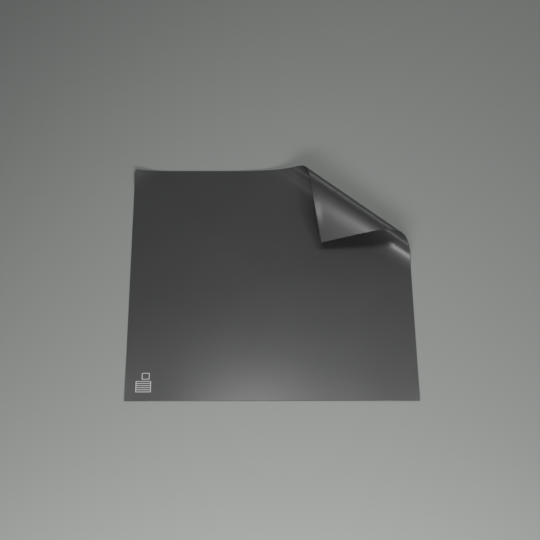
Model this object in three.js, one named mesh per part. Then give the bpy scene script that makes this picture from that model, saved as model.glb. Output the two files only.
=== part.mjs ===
// A square of insulating rubber matting. It lies flat on the floor with its back right corner
// turned over on itself and its back left corner curled up a little.
// Millimetres, +Z up, +X to the right, +Y to the back. The origin is on the floor, under the
// middle of the sheet.

import * as THREE from "three";
import { mergeVertices } from "three/addons/utils/BufferGeometryUtils.js";

// The sheet as it was cut
const SHEET_WIDTH = 1000;
const SHEET_DEPTH = 1000;
const SHEET_THICKNESS = 3;

// The corner that is turned over. Distances run from the line where the sheet leaves the floor
// towards the corner, and turns are in degrees.
const FOLD_REACH = 400; // from the lift-off line to the corner
const FOLD_HEADING = 51.5; // way to the corner, from +X towards +Y
const RAMP_LENGTH = 76; // the gentle bend off the floor
const RAMP_TURN = 6.2;
const CROWN_START = 62; // the round top of the fold
const CROWN_LENGTH = 179;
const CROWN_TURN = 154.4;
const CROWN_EASE = 0.63; // a roll of 1 starts and ends gently, one of 0 is a plain arc
const FLAP_START = 105; // the easy curve of the flap that hangs from the crown
const FLAP_LENGTH = 248;
const TIP_CLEARANCE = 35; // from the sheet's top face up to the corner that hangs over it

// The way that the bend lines run across the sheet, from +X towards +Y, at four distances.
// They fan out from the right edge, so the fold is tight there and open at the back.
const FOLD_FAN = [
  { distance: 0, way: -32.7 },
  { distance: CROWN_START, way: -40.1 },
  { distance: CROWN_START + CROWN_LENGTH, way: -42.9 },
  { distance: FOLD_REACH, way: -63.4 },
];

// The corner that curls up
const CURL_REACH = 105; // from the lift-off line to the corner
const CURL_HEADING = 130;
const CURL_TURN = 15;

const BEND_STEP = THREE.MathUtils.degToRad(5); // the most that one bend line turns the sheet
const MARCH = 1; // how finely the bends are walked through

// How much of a bend's turn is done at a distance along it
function shareOfTurn(distance, { start, length, ease }) {
  const u = THREE.MathUtils.clamp((distance - start) / length, 0, 1);
  return u - (ease * Math.sin(2 * Math.PI * u)) / (2 * Math.PI);
}

// The way of the bend line at a distance, in radians
function wayOfLine(distance, fan) {
  const next = Math.max(1, fan.findIndex((station) => station.distance >= distance));
  const [a, b] = [fan[next - 1], fan[next]];
  const share = (distance - a.distance) / (b.distance - a.distance);
  return THREE.MathUtils.degToRad(THREE.MathUtils.lerp(a.way, b.way, share));
}

// The bend lines of one corner, in the flat sheet, from its lift-off line towards the corner.
// Each has a point, a direction and the turn that it gives to all that lies beyond it.
function bendLines({ corner, heading, reach, fan, bends }) {
  const lines = [];
  const toCorner = new THREE.Vector2(Math.cos(heading), Math.sin(heading));
  let turned = 0;
  for (let distance = MARCH; distance < reach; distance += MARCH) {
    let wanted = 0;
    for (const bend of bends) wanted += bend.turn * shareOfTurn(distance, bend);
    if (Math.abs(wanted - turned) < BEND_STEP) continue;
    const angle = wayOfLine(distance, fan);
    lines.push({
      point: corner.clone().addScaledVector(toCorner, distance - reach),
      direction: new THREE.Vector2(Math.cos(angle), Math.sin(angle)),
      turn: wanted - turned,
    });
    turned = wanted;
  }
  return lines;
}

// The turn about one bend line, as a matrix
function turnAbout({ point, direction }, turn) {
  const axis = new THREE.Vector3(direction.x, direction.y, 0);
  const there = new THREE.Matrix4().makeTranslation(point.x, point.y, 0);
  const back = new THREE.Matrix4().makeTranslation(-point.x, -point.y, 0);
  return there.multiply(new THREE.Matrix4().makeRotationAxis(axis, turn)).multiply(back);
}

// Gives each bend line the place of its own edge, which is half way round its turn, and the
// place of the strip beyond it.
function placeLines(lines) {
  let before = new THREE.Matrix4();
  for (const line of lines) {
    line.edgePlace = before.clone().multiply(turnAbout(line, line.turn / 2));
    line.stripPlace = before.clone().multiply(turnAbout(line, line.turn));
    before = line.stripPlace;
  }
  return lines;
}

// Splits a flat polygon at a bend line. New corners are marked with the line.
function split(polygon, line) {
  const { point, direction } = line;
  const side = ({ x, y }) => direction.x * (y - point.y) - direction.y * (x - point.x);
  const near = [];
  const far = [];
  polygon.forEach((from, i) => {
    const to = polygon[(i + 1) % polygon.length];
    const [a, b] = [side(from), side(to)];
    (a > 0 ? far : near).push(from);
    if (a > 0 === b > 0) return;
    const t = a / (a - b);
    const crossing = { x: from.x + (to.x - from.x) * t, y: from.y + (to.y - from.y) * t, line };
    near.push(crossing);
    far.push(crossing);
  });
  return { near, far };
}

// Cuts the strips of one corner off the sheet and returns what stays flat.
function takeStrips(sheet, lines, strips) {
  let rest = sheet;
  let place = new THREE.Matrix4();
  let flat = null;
  for (const line of lines) {
    const { near, far } = split(rest, line);
    if (flat) strips.push({ polygon: near, place });
    else flat = near;
    rest = far;
    place = line.stripPlace;
  }
  strips.push({ polygon: rest, place });
  return flat;
}

// The closed surface of the folded sheet: both faces of every strip and its cut edges
function sheetGeometry(strips) {
  const positions = [];
  const face = (points) => {
    for (let i = 2; i < points.length; i++) {
      for (const p of [points[0], points[i - 1], points[i]]) positions.push(p.x, p.y, p.z);
    }
  };
  const half = SHEET_THICKNESS / 2;
  for (const { polygon, place } of strips) {
    const at = (corner, height) =>
      new THREE.Vector3(corner.x, corner.y, height)
        .applyMatrix4(corner.line ? corner.line.edgePlace : place)
        .add(new THREE.Vector3(0, 0, half));
    const top = polygon.map((corner) => at(corner, half));
    const bottom = polygon.map((corner) => at(corner, -half));
    face(top);
    face([...bottom].reverse());
    polygon.forEach((corner, i) => {
      const j = (i + 1) % polygon.length;
      const alongBend = corner.line && corner.line === polygon[j].line;
      if (!alongBend) face([bottom[i], bottom[j], top[j], top[i]]);
    });
  }
  const soup = new THREE.BufferGeometry();
  soup.setAttribute("position", new THREE.Float32BufferAttribute(positions, 3));
  const geometry = mergeVertices(soup, 1e-4);
  geometry.computeVertexNormals();
  return geometry;
}

const halfWidth = SHEET_WIDTH / 2;
const halfDepth = SHEET_DEPTH / 2;
const backRight = new THREE.Vector2(halfWidth, halfDepth);
const backLeft = new THREE.Vector2(-halfWidth, halfDepth);
const radians = THREE.MathUtils.degToRad;

function foldLines(flapTurn) {
  return placeLines(
    bendLines({
      corner: backRight,
      heading: radians(FOLD_HEADING),
      reach: FOLD_REACH,
      fan: FOLD_FAN,
      bends: [
        { start: 0, length: RAMP_LENGTH, turn: radians(RAMP_TURN), ease: 1 },
        { start: CROWN_START, length: CROWN_LENGTH, turn: radians(CROWN_TURN), ease: CROWN_EASE },
        { start: FLAP_START, length: FLAP_LENGTH, turn: flapTurn, ease: 1 },
      ],
    }),
  );
}

// The flap turns down until its corner hangs the stated clearance above the sheet.
function turnOfFlap() {
  let low = -Math.PI / 2;
  let high = Math.PI;
  for (let i = 0; i < 40; i++) {
    const turn = (low + high) / 2;
    const corner = new THREE.Vector3(backRight.x, backRight.y, 0);
    corner.applyMatrix4(foldLines(turn).at(-1).stripPlace);
    if (corner.z > SHEET_THICKNESS + TIP_CLEARANCE) low = turn;
    else high = turn;
  }
  return low;
}

function rubberMat() {
  const outline = [
    { x: -halfWidth, y: -halfDepth },
    { x: halfWidth, y: -halfDepth },
    { x: halfWidth, y: halfDepth },
    { x: -halfWidth, y: halfDepth },
  ];
  const curl = bendLines({
    corner: backLeft,
    heading: radians(CURL_HEADING),
    reach: CURL_REACH,
    fan: [
      { distance: 0, way: CURL_HEADING - 90 },
      { distance: CURL_REACH, way: CURL_HEADING - 90 },
    ],
    bends: [{ start: 0, length: CURL_REACH, turn: radians(CURL_TURN), ease: 1 }],
  });
  const strips = [];
  const withoutFold = takeStrips(outline, foldLines(turnOfFlap()), strips);
  const flat = takeStrips(withoutFold, placeLines(curl), strips);
  strips.push({ polygon: flat, place: new THREE.Matrix4() });
  const rubber = new THREE.MeshStandardMaterial({ color: 0x4a4b4a, roughness: 0.55, metalness: 0 });
  const mesh = new THREE.Mesh(sheetGeometry(strips), rubber);
  mesh.name = "rubber_mat";
  return mesh;
}

const model = new THREE.Group();
model.add(rubberMat());

export default model;
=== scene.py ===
# An insulating rubber mat on a studio floor, with one corner turned over on itself.
# Everything is in metres, +Z up, with the origin on the floor under the middle of the sheet.

import math

import bmesh
import bpy
import numpy as np
from mathutils import Matrix, Vector


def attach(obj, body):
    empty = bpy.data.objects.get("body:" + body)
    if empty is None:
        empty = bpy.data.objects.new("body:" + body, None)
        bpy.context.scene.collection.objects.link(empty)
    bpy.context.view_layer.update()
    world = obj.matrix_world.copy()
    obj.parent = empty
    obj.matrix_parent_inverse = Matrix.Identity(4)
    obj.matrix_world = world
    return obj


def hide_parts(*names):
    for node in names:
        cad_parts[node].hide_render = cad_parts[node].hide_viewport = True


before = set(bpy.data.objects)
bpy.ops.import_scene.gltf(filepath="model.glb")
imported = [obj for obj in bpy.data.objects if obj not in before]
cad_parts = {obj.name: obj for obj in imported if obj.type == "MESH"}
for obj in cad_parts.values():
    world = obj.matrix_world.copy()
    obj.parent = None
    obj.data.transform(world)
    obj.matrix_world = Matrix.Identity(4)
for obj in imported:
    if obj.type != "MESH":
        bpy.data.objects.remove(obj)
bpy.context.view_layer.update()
scene = bpy.context.scene


def addObject(name, data):
    made = bpy.data.objects.new(name, data)
    scene.collection.objects.link(made)
    return made


# Camera, placed so that the mat's four edges fall where the picture has them

cameraSetup = {
    "target": (-0.0032, 0.0477, 0.0),
    "distance": 6.165,
    "turn": 1.267,  # degrees to the right of straight back
    "dip": 54.08,  # degrees below level
    "roll": 0.996,
    "lens": 115.13,  # millimetres, on the sensor below
    "sensor": 36.0,
}


def placeCamera(setup):
    turn, dip, roll = (math.radians(setup[key]) for key in ("turn", "dip", "roll"))
    look = Vector((math.sin(turn) * math.cos(dip), math.cos(turn) * math.cos(dip), -math.sin(dip)))
    level = look.cross(Vector((0, 0, 1))).normalized()
    upright = level.cross(look)
    right = level * math.cos(roll) + upright * math.sin(roll)
    up = upright * math.cos(roll) - level * math.sin(roll)
    facing = Matrix((right, up, -look)).transposed().to_4x4()
    data = bpy.data.cameras.new("camera")
    data.lens = setup["lens"]
    data.sensor_width = setup["sensor"]
    camera = addObject("camera", data)
    place = Vector(setup["target"]) - look * setup["distance"]
    camera.matrix_world = Matrix.Translation(place) @ facing
    scene.camera = camera


placeCamera(cameraSetup)
print("camera placed")


# The sheet. It only bends about straight lines, as a flat sheet does, so the rubber isn't stretched.

sheetCut = {
    "width": 1.0,
    "depth": 1.0,
    "thickness": 0.003,
    "squares": 40,  # along each side, before the bends are cut in
    "weld": 0.0004,  # points nearer than this are joined after the cuts
    "edgeRound": 0.0005,
    "edgeSteps": 2,
    "edgeAngle": 50,  # degrees, the least that counts as a cut edge
}

turnedCorner = {
    "corner": (0.5, 0.5),
    "reach": 0.400,  # from the lift-off line to the corner
    "heading": 51.5,  # degrees from +X towards +Y
    "fan": (  # distance from the lift-off line, and the way that the bend line runs there
        (0.000, -32.7),
        (0.062, -40.1),
        (0.241, -42.9),
        (0.400, -63.4),
    ),
    "bends": (  # start, length, degrees and ease of each, from the lift-off line on
        (0.000, 0.076, 6.2, 1.0),  # off the floor
        (0.062, 0.179, 154.4, 0.63),  # round the top
        (0.105, 0.248, 44.4, 1.0),  # down the hanging flap
    ),
}

curledCorner = {
    "corner": (-0.5, 0.5),
    "reach": 0.105,
    "heading": 130.0,
    "fan": ((0.0, 40.0), (0.105, 40.0)),
    "bends": ((0.0, 0.105, 15.0, 1.0),),
}

bendRows = {
    "walk": 0.0005,  # how finely the bends are walked through
    "turnStep": 1.5,  # degrees between two rows of points
    "widest": 0.012,  # most distance between two rows
    "onCut": 1e-6,  # points nearer than this are on the cut
}


# The turn that a corner has made at each distance from its lift-off line
def turnMade(distance, bends):
    total = np.zeros_like(distance)
    for start, length, degrees, ease in bends:
        share = np.clip((distance - start) / length, 0, 1)
        total += math.radians(degrees) * (share - ease * np.sin(2 * math.pi * share) / (2 * math.pi))
    return total


def bendLines(corner):
    distance = np.arange(bendRows["walk"] / 2, corner["reach"], bendRows["walk"])
    heading = math.radians(corner["heading"])
    angle = np.radians(np.interp(distance, *zip(*corner["fan"])))
    towards = np.array((math.cos(heading), math.sin(heading)))
    points = np.array(corner["corner"]) + (distance - corner["reach"])[:, None] * towards
    directions = np.stack((np.cos(angle), np.sin(angle)), 1)
    return distance, points, directions, turnMade(distance, corner["bends"])


# Carries each point of the flat sheet through the bend lines that lie before it
def bendCorner(flat, corner):
    distance, points, directions, turned = bendLines(corner)
    places = [Matrix.Identity(4)]
    for point, direction, step in zip(points, directions, np.diff(turned, prepend=0.0)):
        there = Matrix.Translation((*point, 0.0))
        turn = Matrix.Rotation(step, 4, Vector((*direction, 0.0)))
        places.append(places[-1] @ there @ turn @ there.inverted())
    across = np.stack((-directions[:, 1], directions[:, 0]), 1)
    passed = (((flat[:, None, :2] - points) * across).sum(2) > 0).sum(1)
    carried = np.array([np.array(place) for place in places])[passed]
    return np.einsum("nij,nj->ni", carried[:, :3, :3], flat) + carried[:, :3, 3]


# Adds a row of points along a line in the flat sheet
def cutRow(sheet, point, across):
    everything = list(sheet.verts) + list(sheet.edges) + list(sheet.faces)
    bmesh.ops.bisect_plane(
        sheet, geom=everything, dist=bendRows["onCut"], plane_co=(*point, 0.0), plane_no=(*across, 0.0)
    )


def cutBends(sheet, corner):
    distance, points, directions, turned = bendLines(corner)
    last = None
    for i in range(len(distance)):
        if last is not None:
            bent = abs(turned[i] - turned[last]) >= math.radians(bendRows["turnStep"])
            if not bent and distance[i] - distance[last] < bendRows["widest"]:
                continue
        last = i
        cutRow(sheet, points[i], (-directions[i, 1], directions[i, 0]))


# Low waves left from the roll, which lift the sheet off the floor by a millimetre or two:
# middle, size along X and Y, height
floorWaves = (
    ((0.38, -0.52), (0.10, 0.16), 0.0026),
    ((-0.36, -0.52), (0.10, 0.10), 0.0012),
    ((-0.52, -0.46), (0.035, 0.10), 0.0022),
    ((0.52, -0.48), (0.030, 0.07), 0.0022),
)


def waveHeight(flat):
    height = np.zeros(len(flat))
    for middle, size, top in floorWaves:
        away = ((flat[:, :2] - np.array(middle)) / np.array(size)) ** 2
        height += top * np.exp(-away.sum(1))
    return height


# The cut edge of the turned-over corner curls up a little along part of its length
edgeCurl = {
    "span": (0.26, 0.47),  # along the back edge
    "width": 0.014,
    "lift": 0.0022,
    "cuts": 6,
    "cutPitch": 0.005,
}


def curlHeight(flat):
    start, end = edgeCurl["span"]
    along = np.clip((flat[:, 0] - start) / (end - start), 0, 1)
    away = (sheetCut["depth"] / 2 - flat[:, 1]) / edgeCurl["width"]
    return -edgeCurl["lift"] * np.sin(math.pi * along) ** 2 * np.exp(-away ** 2)


# The middle of the sheet's thickness, as a surface
def makeBentSurface():
    sheet = bmesh.new()
    squares = sheetCut["squares"]
    bmesh.ops.create_grid(sheet, x_segments=squares, y_segments=squares, size=0.5)
    bmesh.ops.scale(sheet, vec=(sheetCut["width"], sheetCut["depth"], 1.0), verts=sheet.verts)
    for corner in (turnedCorner, curledCorner):
        cutBends(sheet, corner)
    for i in range(1, edgeCurl["cuts"] + 1):
        cutRow(sheet, (0.0, sheetCut["depth"] / 2 - i * edgeCurl["cutPitch"]), (0.0, 1.0))
    bmesh.ops.remove_doubles(sheet, verts=sheet.verts, dist=sheetCut["weld"])
    flat = np.array([vert.co[:] for vert in sheet.verts])
    flat[:, 2] = curlHeight(flat)
    bent = bendCorner(flat, turnedCorner) + bendCorner(flat, curledCorner) - flat
    bent[:, 2] += sheetCut["thickness"] / 2 + waveHeight(flat)
    for vert, place in zip(sheet.verts, bent):
        vert.co = place
    for face in sheet.faces:
        face.smooth = True
    mesh = bpy.data.meshes.new("rubber_sheet")
    sheet.to_mesh(mesh)
    sheet.free()
    return addObject("rubber_sheet", mesh)


# Gives the surface its thickness and its rounded cut edges. The material slots are the top,
# the underside and the cut edge.
def thicken(made):
    solid = made.modifiers.new("thickness", "SOLIDIFY")
    solid.thickness = sheetCut["thickness"]
    solid.offset = 0.0
    solid.use_even_offset = True
    solid.material_offset = 1
    solid.material_offset_rim = 2
    edge = made.modifiers.new("cut_edge", "BEVEL")
    edge.width = sheetCut["edgeRound"]
    edge.segments = sheetCut["edgeSteps"]
    edge.limit_method = "ANGLE"
    edge.angle_limit = math.radians(sheetCut["edgeAngle"])
    edge.harden_normals = True


sheet = makeBentSurface()
thicken(sheet)
print("sheet bent")


# Materials

# Turns an sRGB hex colour to linear
def linear(hexColour):
    parts = [int(hexColour[i:i + 2], 16) / 255 for i in (1, 3, 5)]
    parts = [part / 12.92 if part <= 0.04045 else ((part + 0.055) / 1.055) ** 2.4 for part in parts]
    return (*parts, 1.0)


# Adds a node, sets what it is told and links the sockets that it is given
def addNode(tree, kind, inputs=None, **settings):
    made = tree.nodes.new(kind)
    for name, value in settings.items():
        setattr(made, name, value)
    for name, value in (inputs or {}).items():
        if isinstance(value, bpy.types.NodeSocket):
            tree.links.new(value, made.inputs[name])
        else:
            made.inputs[name].default_value = value
    return made


def newMaterial(name):
    material = bpy.data.materials.new(name)
    material.use_nodes = True
    material.node_tree.nodes.clear()
    return material, material.node_tree


# Rubber, calendered between steel rolls: a smooth, low-gloss skin. Carbon black makes it dark,
# and the fine grain and the thin bloom that comes to the surface spread its reflections.
rubberSkin = {
    "ior": 1.52,
    "bloomDetail": 4.0,
    "bloomFineness": 0.55,
    "bloomRange": (0.1, 0.9),  # of the bloom's noise, which the roughness follows
    "grainDetail": 3.0,
    "grainDepth": 0.0003,
}

topRubber = {
    "name": "calendered_rubber_top",
    "dark": "#3a3a3b",
    "bloom": "#3f3f3f",
    "roughness": (0.27, 0.30),
    "grainMm": 1.2,  # real grain is finer, this is as fine as shows
    "bloomMm": 220.0,
    "bump": 0.05,
}

# The side that lay inwards on the roll: darker, as less bloom has come to it, and a little duller
underRubber = {
    "name": "calendered_rubber_underside",
    "dark": "#2b2b2c",
    "bloom": "#323232",
    "roughness": (0.33, 0.37),
    "grainMm": 1.0,
    "bloomMm": 90.0,
    "bump": 0.04,
}

# The edge that the knife left: matt and slightly torn
cutRubber = {
    "name": "cut_rubber_edge",
    "dark": "#2c2c2c",
    "bloom": "#40403e",
    "roughness": (0.45, 0.60),
    "grainMm": 0.6,
    "bloomMm": 8.0,
    "bump": 0.12,
}


def rubberMaterial(look):
    material, tree = newMaterial(look["name"])
    place = addNode(tree, "ShaderNodeTexCoord").outputs["Object"]
    bloom = addNode(tree, "ShaderNodeTexNoise", {
        "Vector": place,
        "Scale": 1000 / look["bloomMm"],
        "Detail": rubberSkin["bloomDetail"],
        "Roughness": rubberSkin["bloomFineness"],
    })
    grain = addNode(tree, "ShaderNodeTexNoise", {
        "Vector": place,
        "Scale": 1000 / look["grainMm"],
        "Detail": rubberSkin["grainDetail"],
    })
    colour = addNode(tree, "ShaderNodeMix", {
        "Factor": bloom.outputs["Fac"],
        "A": linear(look["dark"]),
        "B": linear(look["bloom"]),
    }, data_type="RGBA")
    rough = addNode(tree, "ShaderNodeMapRange", {
        "Value": bloom.outputs["Fac"],
        "From Min": rubberSkin["bloomRange"][0],
        "From Max": rubberSkin["bloomRange"][1],
        "To Min": look["roughness"][0],
        "To Max": look["roughness"][1],
    })
    relief = addNode(tree, "ShaderNodeBump", {
        "Height": grain.outputs["Fac"],
        "Strength": look["bump"],
        "Distance": rubberSkin["grainDepth"],
    })
    skin = addNode(tree, "ShaderNodeBsdfPrincipled", {
        "Base Color": colour.outputs["Result"],
        "Roughness": rough.outputs["Result"],
        "IOR": rubberSkin["ior"],
        "Normal": relief.outputs["Normal"],
    })
    addNode(tree, "ShaderNodeOutputMaterial", {"Surface": skin.outputs["BSDF"]})
    return material


for look in (topRubber, underRubber, cutRubber):
    sheet.data.materials.append(rubberMaterial(look))
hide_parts("rubber_mat")
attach(sheet, "root")
print("rubber made")


# The print: a plain panel of empty rows and a small empty frame, in white ink

whitePrint = {
    "panel": (-0.464, -0.466, -0.412, -0.422),  # left, front, right, back
    "rows": 4,
    "frame": (-0.444, -0.415, -0.418, -0.389),
    "line": 0.0020,
    "piecesAlong": 8,  # of each line, so that it follows the sheet's waves
    "weld": 1e-5,
    "film": 0.00012,
    "lift": 0.00002,  # keeps the film's lower face off the rubber
    "colour": "#c4c5c2",
    "roughness": 0.55,
}


def outlineBars(area, line):
    left, front, right, back = area
    return [
        (left, front, right, front + line),
        (left, back - line, right, back),
        (left, front + line, left + line, back - line),
        (right - line, front + line, right, back - line),
    ]


# Each bar is left, front, right and back
def printBars(setup):
    line = setup["line"]
    left, front, right, back = setup["panel"]
    bars = outlineBars(setup["panel"], line) + outlineBars(setup["frame"], line)
    pitch = (back - front - line) / (setup["rows"] + 1)
    for row in range(1, setup["rows"] + 1):
        start = front + row * pitch
        bars.append((left + line, start, right - line, start + line))
    return bars


# Screen ink: an opaque, matt film that has lost a little of its white to handling
def inkMaterial(setup):
    material, tree = newMaterial("screen_ink_white")
    skin = addNode(tree, "ShaderNodeBsdfPrincipled", {
        "Base Color": linear(setup["colour"]),
        "Roughness": setup["roughness"],
    })
    addNode(tree, "ShaderNodeOutputMaterial", {"Surface": skin.outputs["BSDF"]})
    return material


def makePrint(setup):
    points, faces = [], []
    count = setup["piecesAlong"]
    for x0, y0, x1, y1 in printBars(setup):
        for i in range(count):
            a, b = x0 + (x1 - x0) * i / count, x0 + (x1 - x0) * (i + 1) / count
            faces.append(tuple(range(len(points), len(points) + 4)))
            points += [(a, y0, 0.0), (b, y0, 0.0), (b, y1, 0.0), (a, y1, 0.0)]
    flat = np.array(points)
    flat[:, 2] = sheetCut["thickness"] + waveHeight(flat) + setup["lift"]
    mesh = bpy.data.meshes.new("white_print")
    mesh.from_pydata(flat.tolist(), [], faces)
    film = bmesh.new()
    film.from_mesh(mesh)
    bmesh.ops.remove_doubles(film, verts=film.verts, dist=setup["weld"])
    film.to_mesh(mesh)
    film.free()
    made = addObject("white_print", mesh)
    solid = made.modifiers.new("film", "SOLIDIFY")
    solid.thickness = setup["film"]
    solid.offset = 1.0
    mesh.materials.append(inkMaterial(setup))
    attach(made, "root")


makePrint(whitePrint)
print("print made")


# The studio: seamless paper on the floor, a soft backdrop all round, and the lights below

studio = {
    "floorSize": 24.0,
    "paper": "#808480",
    "paperRoughness": 0.8,
    "fibreMm": 2.5,
    "fibreDetail": 2.0,
    "fibreBump": 0.05,
    "fibreDepth": 0.0005,
    "backdrop": "#5b5d5f",
    "backdropStrength": 1.0,
}


# Seamless paper: matt, with a faint tooth of fibres
def paperMaterial(setup):
    material, tree = newMaterial("seamless_paper")
    place = addNode(tree, "ShaderNodeTexCoord").outputs["Object"]
    fibre = addNode(tree, "ShaderNodeTexNoise", {
        "Vector": place,
        "Scale": 1000 / setup["fibreMm"],
        "Detail": setup["fibreDetail"],
    })
    relief = addNode(tree, "ShaderNodeBump", {
        "Height": fibre.outputs["Fac"],
        "Strength": setup["fibreBump"],
        "Distance": setup["fibreDepth"],
    })
    skin = addNode(tree, "ShaderNodeBsdfPrincipled", {
        "Base Color": linear(setup["paper"]),
        "Roughness": setup["paperRoughness"],
        "Normal": relief.outputs["Normal"],
    })
    addNode(tree, "ShaderNodeOutputMaterial", {"Surface": skin.outputs["BSDF"]})
    return material


def makeFloor(setup):
    half = setup["floorSize"] / 2
    corners = [(-half, -half, 0), (half, -half, 0), (half, half, 0), (-half, half, 0)]
    mesh = bpy.data.meshes.new("floor")
    mesh.from_pydata(corners, [], [(0, 1, 2, 3)])
    floor = addObject("floor", mesh)
    mesh.materials.append(paperMaterial(setup))


def setBackdrop(setup):
    world = bpy.data.worlds.new("studio")
    world.use_nodes = True
    tree = world.node_tree
    tree.nodes.clear()
    air = addNode(tree, "ShaderNodeBackground", {
        "Color": linear(setup["backdrop"]),
        "Strength": setup["backdropStrength"],
    })
    addNode(tree, "ShaderNodeOutputWorld", {"Surface": air.outputs["Background"]})
    scene.world = world


# Powers are in watts
panelLights = {
    # overhead, for the sheen on the turned-over flap, the glint inside its right end and the
    # glow on the front of the mat
    "softbox": {
        "place": (0.17, 0.20, 1.70), "aim": (0.17, 0.20, 0.0),
        "size": (0.86, 0.60), "power": 3.5,
    },
    "softbox_core": {
        "place": (-0.07, 0.24, 1.69), "aim": (-0.07, 0.24, 0.0),
        "size": (0.32, 0.44), "power": 5.7,
    },
    "softbox_rim": {
        "place": (0.09, 0.62, 1.70), "aim": (0.09, 0.62, 0.0),
        "size": (1.04, 0.24), "power": 0.7,
    },
    # behind, for the thin light line along the top of the flap
    "back_strip": {
        "place": (1.2, 3.6, 1.40), "aim": (0.3, 0.3, 0.0),
        "size": (3.2, 0.40), "power": 21.0,
    },
    # high on the right, for the back of the fold and the way that the shades fall
    "right_key": {
        "place": (1.4, 0.5, 3.2), "aim": (0.2, 0.1, 0.0),
        "size": (0.8, 0.8), "power": 27.0,
    },
    # small cards that lift the two front corners
    "left_corner_card": {
        "place": (-0.60, 0.17, 1.0), "aim": (-0.60, 0.17, 0.0),
        "size": (0.30, 0.26), "power": 0.22,
    },
    "right_corner_card": {
        "place": (0.62, 0.14, 1.0), "aim": (0.62, 0.14, 0.0),
        "size": (0.14, 0.18), "power": 0.06,
    },
    # low on the left, for the inside of the fold
    "side_card": {
        "place": (-2.7, -1.55, 0.55), "aim": (0.45, 0.1, 0.1),
        "size": (0.7, 0.6), "power": 6.5,
    },
    # in front, for the light end of the floor and of the mat
    "front_lamp": {
        "place": (0.0, -2.1, 1.3), "aim": (0.0, -1.5, 0.0),
        "size": (2.0, 0.5), "power": 78.0,
    },
}


def addPanelLight(name, setup):
    data = bpy.data.lights.new(name, "AREA")
    data.shape = "RECTANGLE"
    data.size, data.size_y = setup["size"]
    data.energy = setup["power"]
    lamp = addObject(name, data)
    away = Vector(setup["place"]) - Vector(setup["aim"])
    facing = away.to_track_quat("Z", "Y").to_matrix().to_4x4()
    lamp.matrix_world = Matrix.Translation(setup["place"]) @ facing
    lamp.visible_camera = False


makeFloor(studio)
setBackdrop(studio)
for name, setup in panelLights.items():
    addPanelLight(name, setup)
print("studio lit")
